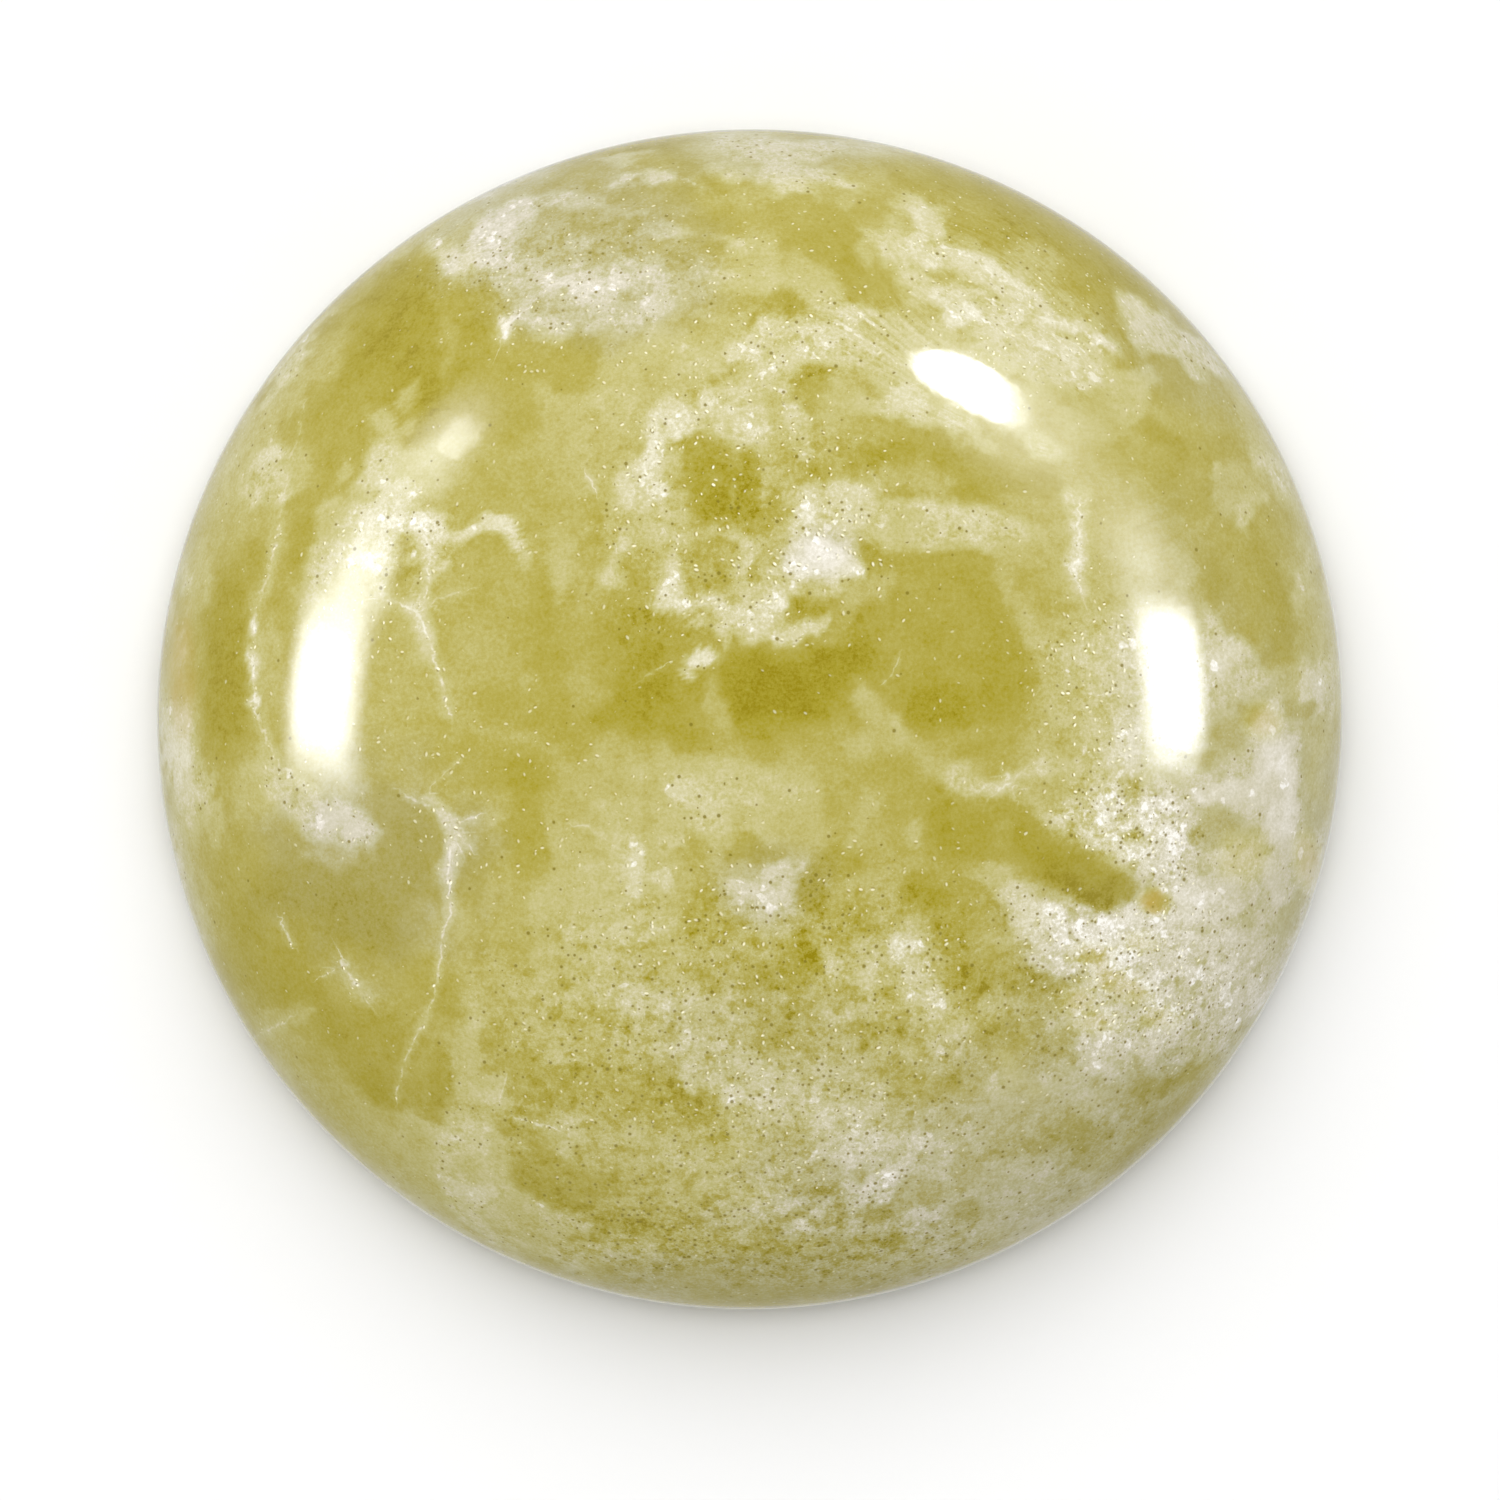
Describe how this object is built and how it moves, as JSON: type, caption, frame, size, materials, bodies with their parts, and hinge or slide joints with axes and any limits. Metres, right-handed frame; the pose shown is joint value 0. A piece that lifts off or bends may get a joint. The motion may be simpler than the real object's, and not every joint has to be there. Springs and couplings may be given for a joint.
{
  "type": "round marble cabochon",
  "caption": "Round, high-domed cabochon of polished green and white marble with a flat ground back, to be seated in a bezel or a pendant blank, or laid on a surface.",
  "frame": {"origin": "middle of the flat ground back, in the plane that the stone rests on", "axes": "+Z from the flat back up through the top of the crown; +X to the right and +Y up as the picture shows the crown's pattern"},
  "size_m": [0.03, 0.0299, 0.0092],
  "materials": {
    "polished_marble": "polished"
  },
  "bodies": {
    "root": {"cabochon": "polished_marble"}
  },
  "joints": []
}
